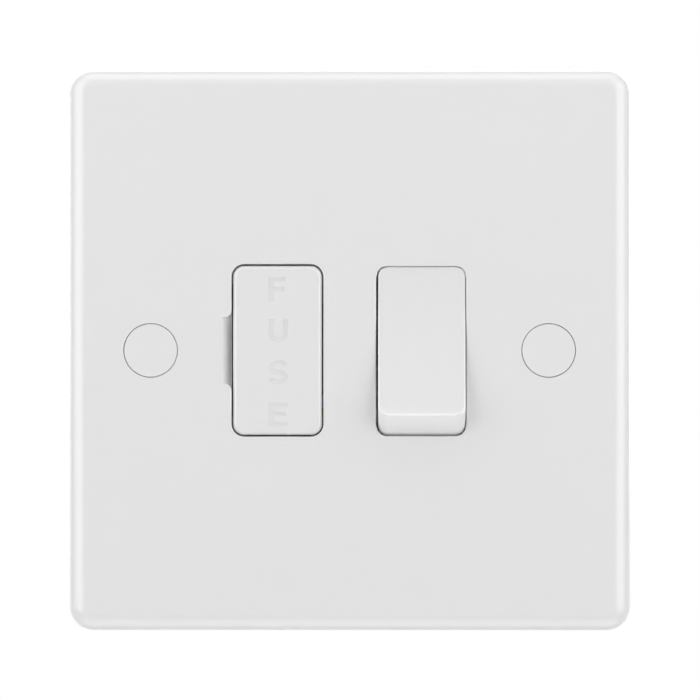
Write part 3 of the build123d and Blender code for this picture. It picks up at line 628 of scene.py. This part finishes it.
def rounded_rectangles(half_x, half_z, corner):
    """Rectangles with quarter-circle corners: each corner's centre plus its radius times (cos, sin)."""
    angle, run, side = outline_path()
    x = side * (half_x - corner) + corner * np.cos(angle)
    z = run * (half_z - corner) + corner * np.sin(angle)
    return x, z


def rocker_shell(sizes, half_width, reach, face):
    """Rocker's shell about its pins: rounded rectangles at growing depth behind the face. The ends lie on a
    circle of radius reach, and the front edge is a quarter round of inset e(1-sin a), depth e(1-cos a). The
    face is hollowed by dish(1-(z/end)^2), and a straight flank rises to the ridge along each end, less to
    the upper one."""
    angle = outline_path()[0]
    at_end = np.sin(angle) ** 2
    edge = sizes.edge + (sizes.end_edge - sizes.edge) * at_end
    rise = np.linspace(0, 1, 9)[:-1, None]
    turn = np.linspace(0, pi / 2, 9)[:, None]
    down = np.linspace(0, 1, 11)[1:, None]
    level = np.zeros(len(angle))
    inset = np.concatenate([
        edge + sizes.ridge * (1 - rise), edge * (1 - np.sin(turn)), level + 0 * down])
    depth = np.concatenate([
        level + 0 * rise, edge * (1 - np.cos(turn)), edge + (sizes.skirt - edge) * down])
    length = np.sqrt(reach**2 - (face - depth) ** 2) - inset
    out_x, out_z = rounded_rectangles(half_width - inset, length, sizes.corner - inset)
    bump = np.concatenate([rise, np.ones((len(turn) + len(down), 1))])
    ridge = at_end * np.where(angle % (2 * pi) > pi, 1.0, sizes.upper_ridge)
    sunk = sizes.ridge_rise * (1 - ridge * bump) * np.clip(1 - depth / edge, 0, 1)
    along = (out_z / np.abs(out_z[0]).max()).clip(-1, 1)
    dish = sizes.dish * (1 - along**2) * (1 - depth / sizes.skirt)
    back = np.linspace(sizes.skirt, sizes.wall, 8)[:, None]
    inside = np.sqrt((reach - sizes.wall) ** 2 - (face - back) ** 2)
    in_corner = 0.3 * sizes.corner
    in_x, in_z = rounded_rectangles(half_width - sizes.wall, inside, in_corner)
    outer = joined(out_x, depth + sunk + dish - face, out_z)
    inner = joined(in_x, back - face, in_z)
    points, (walls, _, ceiling) = stacked(np.concatenate([outer, inner]))
    right = np.arange(len(angle) // 2)
    left = len(angle) - 1 - right
    rungs = joined(right[:-1], right[1:], left[1:], left[:-1])
    return points, [walls, rungs, ceiling]


def rod(start, end, radius, bevel, sides=40):
    """Round pin along X: circles in Y and Z, the last one drawn in by the bevel."""
    turn = np.linspace(0, 2 * pi, sides, endpoint=False)
    along = np.array([start, end - np.sign(end - start) * bevel, end])[:, None]
    wide = np.array([radius, radius, radius - bevel])[:, None]
    return stacked(joined(along, wide * np.cos(turn), wide * np.sin(turn)))


def lobe_plate(start, end, radius, foot, spread):
    """Plate along X round a pin: a half circle behind the pin, with straight sides out to a wide foot."""
    turn = np.linspace(0, pi, 20)
    y = np.concatenate([radius * np.sin(turn), [foot, foot]])
    z = np.concatenate([radius * np.cos(turn), [-spread, spread]])
    return stacked(joined(np.array([[start], [end]]), y, z))


def square_tube(x, half_out, half_in, front, back):
    """Square tube along Y: its outline down the outside, across the mouth and back up the inside."""
    halves = np.array([half_out, half_out, half_in, half_in])[:, None, None]
    corners = halves * -SQUARE
    floor = front + 0.2 * MM
    y = np.array([front, back, back, floor])[:, None]
    return stacked(joined(x + corners[..., 0], y, corners[..., 1]))


def screw_skin(sizes, x, z, head_end, tip_end, head_radius, head_height, shank_radius, plain):
    """Slotted screw along Y. Its head is an ellipse arc over a short side, then comes a plain neck, and the
    thread's radius is core + depth * ridge, where ridge is a triangle wave of (s / pitch - turn / 2pi)."""
    turn = np.linspace(0, 2 * pi, sizes.sides, endpoint=False)
    heading = np.sign(tip_end - head_end)
    core = shank_radius - sizes.thread_depth
    arc = np.linspace(0.08, pi / 2, 12)
    dome = 0.55 * head_height
    side = 0.94 * head_height
    foot = 0.96 * head_radius
    under = head_height + 0.02 * MM
    head_s = np.concatenate([dome * (1 - np.cos(arc)), [side, head_height, under]])
    head_r = np.concatenate([head_radius * np.sin(arc), [head_radius, foot, core]])
    start = head_height + plain
    total = abs(tip_end - head_end)
    s = np.linspace(start, total, int(9 * (total - start) / sizes.thread_pitch))
    wave = np.mod(s[:, None] / sizes.thread_pitch - turn[None, :] / (2 * pi), 1.0)
    ridge = np.clip(1.25 * (1 - np.abs(2 * wave - 1)) - 0.1, 0, 1)
    run_out = 1.2 * sizes.thread_pitch
    lead = np.clip(np.minimum(s - start, total - s) / run_out, 0, 1)[:, None]
    taper = 1.5 * sizes.thread_pitch
    tip = np.clip((total - s) / taper, 0, 1)[:, None]
    thread_r = core * (0.72 + 0.28 * tip) + sizes.thread_depth * ridge * lead
    along = np.concatenate([head_s, s])
    radius = np.concatenate([np.broadcast_to(head_r[:, None], (len(head_r), sizes.sides)), thread_r])
    y = (head_end + heading * along)[:, None]
    return stacked(joined(x + radius * np.cos(turn), y, z + radius * np.sin(turn)))


def slot_block(sizes, x, z, head_end, inward, reach):
    """Block that cuts a screwdriver slot across a head: a rectangle in X and Z carried a slot's depth."""
    outline = (x, z) + SQUARE * (reach, sizes.slot_width / 2)
    deep = inward * sizes.slot_depth
    return prism(outline, [(head_end - deep, 0), (head_end + deep, 0)])


def turned_along_z(x, y, radius, z, sides=72):
    """Surface of revolution about an upright axis: each (radius, z) pair is a circle in X and Y."""
    turn = np.linspace(0, 2 * pi, sides, endpoint=False)
    radius = radius[:, None]
    return stacked(joined(x + radius * np.cos(turn), y + radius * np.sin(turn), z[:, None]))


def coil(x, start, end, radius, wire, turns, sides=12, steps=48):
    """Round wire on a helix about a line along Y: the helix point plus the wire's radius times (cos, sin)
    along the helix's own outward and binormal directions. It starts and ends flat, over part of a turn."""
    t = np.linspace(0, 1, int(turns * steps))
    angle = 2 * pi * turns * t
    flat = 0.6 / turns
    climb = np.clip((t - flat) / (1 - 2 * flat), 0, 1)
    y = start + wire + (end - start - 2 * wire) * climb
    centre = joined(radius * np.cos(angle), y, radius * np.sin(angle))
    along = np.gradient(centre, axis=0)
    along /= np.linalg.norm(along, axis=1)[:, None]
    outward = joined(np.cos(angle), 0.0, np.sin(angle))
    across = np.cross(along, outward)
    ring = np.linspace(0, 2 * pi, sides, endpoint=False)
    tube = (centre[:, None] + wire * np.cos(ring)[None, :, None] * outward[:, None]
            + wire * np.sin(ring)[None, :, None] * across[:, None])
    return stacked(tube + (x, 0, 0))


class FUSEDSPUR_OT_mouldings(Operator):
    """Plate, screw caps and rear housing as polished or satin mouldings"""

    bl_idname = "fused_spur.mouldings"
    bl_label = "Mouldings"

    def execute(self, context):
        moulding("front_plate", "white_plastic", notch_hollow(context.scene.spur_notch))
        for node in ("screw_cap_left", "screw_cap_right"):
            moulding(node, "white_plastic")
        moulding("rear_housing", "housing_plastic")
        return {"FINISHED"}


class FUSEDSPUR_OT_drawer(Operator):
    """Fuse drawer with its word sunk in the face"""

    bl_idname = "fused_spur.drawer"
    bl_label = "Fuse drawer"

    def execute(self, context):
        sizes = context.scene.spur_lettering
        mesh = merged_copy("fuse_carrier", "fuse_drawer")
        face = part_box("fuse_carrier")[0].y
        round_bevel(mesh, face, sizes.drawer_bevel)
        drawer = place("fuse_drawer_moulding", mesh, "white_plastic", "fuse_drawer", ["fuse_carrier"])
        levels = [(face - sizes.depth, sizes.rim), (face, sizes.rim), (face + sizes.rim_depth, 0.0),
                  (face + sizes.depth, 0.0)]
        word = mesh_of("word", [prism(outline, levels) for outline in word_outlines(sizes)])
        # The eased rims keep the gloss; the word's floor takes the plastic with painted shade
        for material in (finish_of("white_plastic"), sunk_floor_painted_shade()):
            word.materials.append(material)
        centres = np.empty(3 * len(word.polygons))
        word.polygons.foreach_get("center", centres)
        on_floor = centres[1::3] > face + sizes.rim_depth
        word.polygons.foreach_set("material_index", on_floor.astype(np.int32))
        cut(drawer, word)
        even_shading(drawer)
        return {"FINISHED"}


class FUSEDSPUR_OT_rocker(Operator):
    """Rocker: a rounded shell with its pins, lobes and plunger tubes"""

    bl_idname = "fused_spur.rocker"
    bl_label = "Rocker"

    def execute(self, context):
        sizes = context.scene.spur_rocker
        pivot, rest = rocker_rest()
        upright = turned(points_of("rocker"), -rest, pivot) - np.array(pivot)
        reach = np.hypot(upright[:, 1], upright[:, 2]).max()
        face = -upright[:, 1].min() - sizes.crest
        half_width = np.abs(upright[upright[:, 1] < -face / 2, 0]).max()
        pin_end = np.abs(upright[:, 0]).max()
        foot = sizes.skirt - face
        root = sizes.wall - face - 0.1 * MM
        lobe = sizes.pin + sizes.lobe
        skins = [rocker_shell(sizes, half_width, reach, face)]
        for side in (1, -1):
            inner = side * (half_width - sizes.wall)
            skins.append(rod(inner, side * pin_end, sizes.pin, bevel=0.2 * MM))
            skins.append(lobe_plate(inner, side * half_width, lobe, foot, spread=3 * lobe))
        for node in ("live_plunger", "neutral_plunger"):
            low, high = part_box(node)
            hole = (high.x - low.x) / 2 + sizes.tube_gap
            x = middle(node).x - pivot.x
            skins.append(square_tube(x, hole + sizes.tube_wall, hole, root, sizes.tube_reach))
        skins = [(turned(points, rest, (0, 0, 0)) + np.array(pivot), faces) for points, faces in skins]
        place("rocker_moulding", mesh_of("rocker", skins), "white_plastic", "rocker", ["rocker"])
        return {"FINISHED"}


class FUSEDSPUR_OT_screws(Operator):
    """Fixing screws and terminal screws, threaded and slotted"""

    bl_idname = "fused_spur.screws"
    bl_label = "Screws"

    def execute(self, context):
        sizes = context.scene.spur_screws
        low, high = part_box("fixing_screws")
        heads = (middle("screw_cap_left"), middle("screw_cap_right"))
        radius = high.x - heads[1].x
        self.group(sizes, "fixing_screws", heads, low.y, high.y, radius,
                   height=2.2 * MM, shank=1.75 * MM, plain=4.5 * MM)
        low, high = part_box("terminal_screws")
        heads = [middle(node) for node in TERMINALS]
        radius = high.x - max(head.x for head in heads)
        self.group(sizes, "terminal_screws", heads, high.y, low.y, radius,
                   height=1.5 * MM, shank=1.7 * MM, plain=0.4 * MM)
        return {"FINISHED"}

    def group(self, sizes, node, heads, head_end, tip_end, radius, height, shank, plain):
        """Like screws as one piece."""
        inward = 1 if tip_end > head_end else -1
        skins = [screw_skin(sizes, head.x, head.z, head_end, tip_end, radius, height, shank, plain)
                 for head in heads]
        blocks = [slot_block(sizes, head.x, head.z, head_end, inward, radius + MM) for head in heads]
        piece = place(f"{node}_threaded", mesh_of(node, skins, sharp=60.0), "zinc_steel", "base", [node])
        cut(piece, mesh_of("slots", blocks))


class FUSEDSPUR_OT_fuse(Operator):
    """Cartridge fuse: ceramic tube and two plated caps with rolled rims"""

    bl_idname = "fused_spur.fuse"
    bl_label = "Cartridge fuse"

    def execute(self, context):
        low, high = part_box("fuse_body")
        centre = middle("fuse_body")
        radius = (high.x - low.x) / 2
        bead = np.array([0.15, 0.045, 0.0]) * MM
        rise = bead[::-1]
        profile_r = radius - np.concatenate([bead, rise])
        profile_z = np.concatenate([low.z + rise, high.z - bead])
        body = turned_along_z(centre.x, centre.y, profile_r, profile_z)
        place("fuse_tube", mesh_of("fuse_tube", [body]), "fuse_ceramic", "fuse_drawer", ["fuse_body"])
        for node in ("fuse_cap_top", "fuse_cap_bottom"):
            low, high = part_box(node)
            outward = 1 if middle(node).z > centre.z else -1
            end, rim = (high.z, low.z) if outward > 0 else (low.z, high.z)
            self.cap(node, centre, (high.x - low.x) / 2, radius, end, rim, outward)
        return {"FINISHED"}

    def cap(self, node, centre, radius, bore, end, rim, outward):
        """Cup turned about the fuse's axis: dished end, rounded edge, side, rolled rim and bore."""
        round_r = 0.45 * MM
        skin = 0.5 * MM
        dish = 0.12 * MM
        turn = np.linspace(0, pi / 2, 7)
        dish_r = np.linspace(0.1, 0.55, 6) * radius
        dish_s = dish * np.cos(dish_r / dish_r[-1] * pi / 2)
        edge_r = radius - round_r + round_r * np.sin(turn)
        edge_s = round_r * (1 - np.cos(turn))
        length = abs(end - rim)
        roll = 0.12 * MM
        ease = 0.3 * roll
        rim_r = [radius, radius - ease, radius - roll, bore, bore, 0.1 * bore]
        rim_s = [length - roll, length - ease, length, length, skin, skin]
        profile_r = np.concatenate([dish_r, edge_r, rim_r])
        profile_s = np.concatenate([dish_s, edge_s, rim_s])
        turned_cup = turned_along_z(centre.x, centre.y, profile_r, end - outward * profile_s)
        place(f"{node}_turned", mesh_of(node, [turned_cup]), "plated_cap", "fuse_drawer", [node])


class FUSEDSPUR_OT_springs(Operator):
    """Round-wire springs behind the plungers, riding on the rocker"""

    bl_idname = "fused_spur.springs"
    bl_label = "Plunger springs"

    def execute(self, context):
        pivot, rest = rocker_rest()
        wire = 0.18 * MM
        for node in ("live_plunger_spring", "neutral_plunger_spring"):
            upright = turned(points_of(node), -rest, pivot)
            low = upright.min(axis=0)
            high = upright.max(axis=0)
            centre = (low + high) / 2
            radius = (high[0] - low[0]) / 2 - wire
            points, faces = coil(centre[0], low[1], high[1], radius, wire, turns=4)
            skin = (turned(points + (0, 0, centre[2]), rest, pivot), faces)
            spring = place(f"{node}_wire", mesh_of(node, [skin]), "spring_steel", "rocker", [node])
            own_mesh(spring)
        return {"FINISHED"}


class FUSEDSPUR_OT_marks(Operator):
    """Raised terminal marks on the back of the housing"""

    bl_idname = "fused_spur.marks"
    bl_label = "Terminal marks"

    def execute(self, context):
        sizes = context.scene.spur_lettering
        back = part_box("rear_housing")[1].y
        root = 0.1 * MM
        draft = 0.05 * MM
        step = 7.4 * MM
        levels = [(back - root, 0.0), (back + sizes.mark_lift, -draft)]
        skins = []
        for node in TERMINALS:
            block = middle(node)
            spot = np.array((block.x, block.z - np.sign(block.z) * step))
            for outline in self.sign(node.split("_")[0], tall=3.0 * MM, stroke=0.5 * MM):
                skins.append(prism(spot + outline * (-1, 1), levels))
        place("terminal_marks", mesh_of("terminal_marks", skins), "housing_plastic", "base")
        return {"FINISHED"}

    def sign(self, line, tall, stroke):
        """Outlines of a line's mark about its middle: L, N, or three shrinking bars under an upright."""
        half = tall / 2
        wide = 0.35 * tall
        if line == "live":
            return [np.array([(-wide, -half), (wide, -half), (wide, stroke - half),
                              (stroke - wide, stroke - half), (stroke - wide, half), (-wide, half)])]
        if line == "neutral":
            slant = 1.25 * stroke
            return [np.array([(-wide, -half), (stroke - wide, -half), (stroke - wide, half - slant),
                              (wide - stroke, -half), (wide, -half), (wide, half), (wide - stroke, half),
                              (wide - stroke, slant - half), (stroke - wide, half), (-wide, half)])]
        bars = [(0.0, half / 2, stroke / 2, half / 2), (0.0, 0.0, 0.5 * tall, stroke / 2),
                (0.0, -0.3 * tall, 0.32 * tall, stroke / 2), (0.0, -0.6 * tall, 0.14 * tall, stroke / 2)]
        return [(x, z) + SQUARE * (half_x, half_z) for x, z, half_x, half_z in bars]


class FUSEDSPUR_OT_metalwork(Operator):
    """Finishes of the terminals, links, clips, contacts and plungers"""

    bl_idname = "fused_spur.metalwork"
    bl_label = "Metalwork"

    def execute(self, context):
        brass = TERMINALS + [
            "live_link", "live_out_link", "neutral_bracket", "earth_strap", "live_fixed_contact",
            "neutral_fixed_contact", "live_contact_arm", "neutral_contact_arm"]
        tips = [f"{line}_{kind}_tip" for line in ("live", "neutral") for kind in ("fixed", "moving")]
        groups = {
            "brass": brass,
            "clip_bronze": ["fuse_clip_in", "fuse_clip_out"],
            "contact_silver": tips,
            "nylon": ["live_plunger", "neutral_plunger"],
        }
        for slot, nodes in groups.items():
            for node in nodes:
                NODES[node].data.materials.clear()
                NODES[node].data.materials.append(finish_of(slot))
        return {"FINISHED"}


class FUSEDSPUR_OT_stage(Operator):
    """Camera, pale floor, soft lamps and white surroundings"""

    bl_idname = "fused_spur.stage"
    bl_label = "Stage"

    def execute(self, context):
        studio = context.scene.spur_studio
        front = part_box("front_plate")[0].y
        data = bpy.data.cameras.new("camera")
        data.lens = studio.lens
        data.sensor_width = 36.0
        camera = added("camera", data)
        camera.location = (studio.camera_right, front - studio.distance, studio.camera_up)
        camera.rotation_euler = (-camera.location).to_track_quat("-Z", "Y").to_euler()
        context.scene.camera = camera
        for name, turn in (("left_lamp", -studio.side_angle), ("right_lamp", studio.side_angle)):
            self.lamp(name, turn, studio.side_lift, studio.side_glow, distance=0.70, size=(0.66, 0.74))
        for name, turn in (("left_edge_lamp", -studio.edge_angle), ("right_edge_lamp", studio.edge_angle)):
            self.lamp(name, turn, studio.side_lift, studio.edge_glow, distance=0.70, size=(0.36, 0.74))
        self.lamp("top_lamp", 0.0, studio.top_angle, studio.top_glow, distance=0.45, size=(0.64, 0.28))
        self.lamp("low_lamp", 0.0, -studio.low_angle, studio.low_glow, distance=0.55, size=(0.76, 0.56))
        self.lamp("back_lamp", pi, radians(20), studio.back_glow, distance=0.80, size=(0.90, 0.70))
        self.floor(studio)
        self.surroundings(context.scene, studio)
        context.scene.view_settings.view_transform = "Standard"
        return {"FINISHED"}

    def lamp(self, name, turn, lift, glow, distance, size):
        """Rectangular lamp aimed at the unit from an angle aside and an angle up. Its power is pi times its
        area times its glow, so that a mirror shows it at that brightness."""
        level = np.cos(lift)
        direction = Vector((np.sin(turn) * level, -np.cos(turn) * level, np.sin(lift)))
        data = bpy.data.lights.new(name, "AREA")
        data.shape = "RECTANGLE"
        data.size, data.size_y = size
        data.energy = pi * size[0] * size[1] * glow
        lamp = added(name, data)
        lamp.location = distance * direction
        lamp.rotation_euler = (-direction).to_track_quat("-Z", "Y").to_euler()
        lamp.visible_camera = False

    def seen(self, tree):
        """Socket that is 1 for rays from the camera, from a mirror or through something clear, else 0."""
        path = tree.nodes.new("ShaderNodeLightPath")
        seen = path.outputs["Is Camera Ray"]
        for other in ("Is Glossy Ray", "Is Transmission Ray"):
            either = tree.nodes.new("ShaderNodeMath")
            either.operation = "MAXIMUM"
            tree.links.new(seen, either.inputs[0])
            tree.links.new(path.outputs[other], either.inputs[1])
            seen = either.outputs["Value"]
        return seen

    def floor(self, studio):
        """Level sheet under the unit, a grid of points at one height, pale where it is seen or mirrored."""
        across = np.linspace(-1.2, 1.2, 13)
        away = np.linspace(-1.4, 0.7, 13)
        points = joined(across[:, None], away, -studio.floor_drop)
        grid = np.arange(points.shape[0] * points.shape[1]).reshape(points.shape[:2])
        faces = joined(grid[:-1, :-1], grid[1:, :-1], grid[1:, 1:], grid[:-1, 1:])
        mesh = bpy.data.meshes.new("floor")
        mesh.from_pydata(points.reshape(-1, 3).tolist(), [], faces.reshape(-1, 4).tolist())
        finish = Finish("pale_floor")
        finish.tint(finish.cloud(0.5), (0.86, 0.86, 0.86), (0.84, 0.84, 0.84))
        finish.roughen(finish.cloud(0.2), 0.6, 0.7)
        white = finish.add("ShaderNodeEmission", {"Color": (1.0, 1.0, 1.0, 1.0), "Strength": 1.0})
        inputs = {0: self.seen(finish.tree), 1: studio.floor_white}
        pale = finish.add("ShaderNodeMath", inputs, operation="MULTIPLY").outputs["Value"]
        mix = finish.add("ShaderNodeMixShader", {
            0: pale, 1: finish.shader.outputs["BSDF"], 2: white.outputs["Emission"]})
        finish.tree.links.new(mix.outputs["Shader"], finish.tree.nodes["Material Output"].inputs["Surface"])
        mesh.materials.append(finish.material)
        floor = added("floor", mesh)

    def surroundings(self, scene, studio):
        """White where they are seen, mirrored or seen through, and dimmer as light on dull surfaces."""
        world = bpy.data.worlds.new("white_surroundings")
        world.use_nodes = True
        scene.world = world
        tree = world.node_tree
        spread = tree.nodes.new("ShaderNodeMapRange")
        spread.inputs["To Min"].default_value = studio.ambient
        tree.links.new(self.seen(tree), spread.inputs["Value"])
        background = tree.nodes["Background"]
        background.inputs["Color"].default_value = (1.0, 1.0, 1.0, 1.0)
        tree.links.new(spread.outputs["Result"], background.inputs["Strength"])


PIECES = (
    FUSEDSPUR_OT_mouldings, FUSEDSPUR_OT_drawer, FUSEDSPUR_OT_rocker, FUSEDSPUR_OT_screws, FUSEDSPUR_OT_fuse,
    FUSEDSPUR_OT_springs, FUSEDSPUR_OT_marks, FUSEDSPUR_OT_metalwork, FUSEDSPUR_OT_stage)
SETTINGS = {
    "spur_plastic": SpurPlastic,
    "spur_notch": SpurNotch,
    "spur_lettering": SpurLettering,
    "spur_screws": SpurScrews,
    "spur_rocker": SpurRocker,
    "spur_studio": SpurStudio,
}


class FUSEDSPUR_PT_panel(Panel):
    """Lists the pieces of the unit and the sizes behind them"""

    bl_idname = "FUSEDSPUR_PT_panel"
    bl_label = "Fused spur unit"
    bl_space_type = "VIEW_3D"
    bl_region_type = "UI"
    bl_category = "Fused spur"

    def draw(self, context):
        for operator in PIECES:
            self.layout.operator(operator.bl_idname)
        for name, group in SETTINGS.items():
            box = self.layout.box()
            for size in group.__annotations__:
                box.prop(getattr(context.scene, name), size)


CLASSES = (*SETTINGS.values(), *PIECES, FUSEDSPUR_PT_panel)


def register():
    for cls in CLASSES:
        bpy.utils.register_class(cls)
    for name, group in SETTINGS.items():
        setattr(bpy.types.Scene, name, PointerProperty(type=group))


def unregister():
    for name in SETTINGS:
        delattr(bpy.types.Scene, name)
    for cls in reversed(CLASSES):
        bpy.utils.unregister_class(cls)


def main():
    register()
    bpy.ops.fused_spur.mouldings()
    bpy.ops.fused_spur.drawer()
    bpy.ops.fused_spur.rocker()
    bpy.ops.fused_spur.screws()
    bpy.ops.fused_spur.fuse()
    bpy.ops.fused_spur.springs()
    bpy.ops.fused_spur.marks()
    bpy.ops.fused_spur.metalwork()
    bpy.ops.fused_spur.stage()


if __name__ == "__main__":
    main()
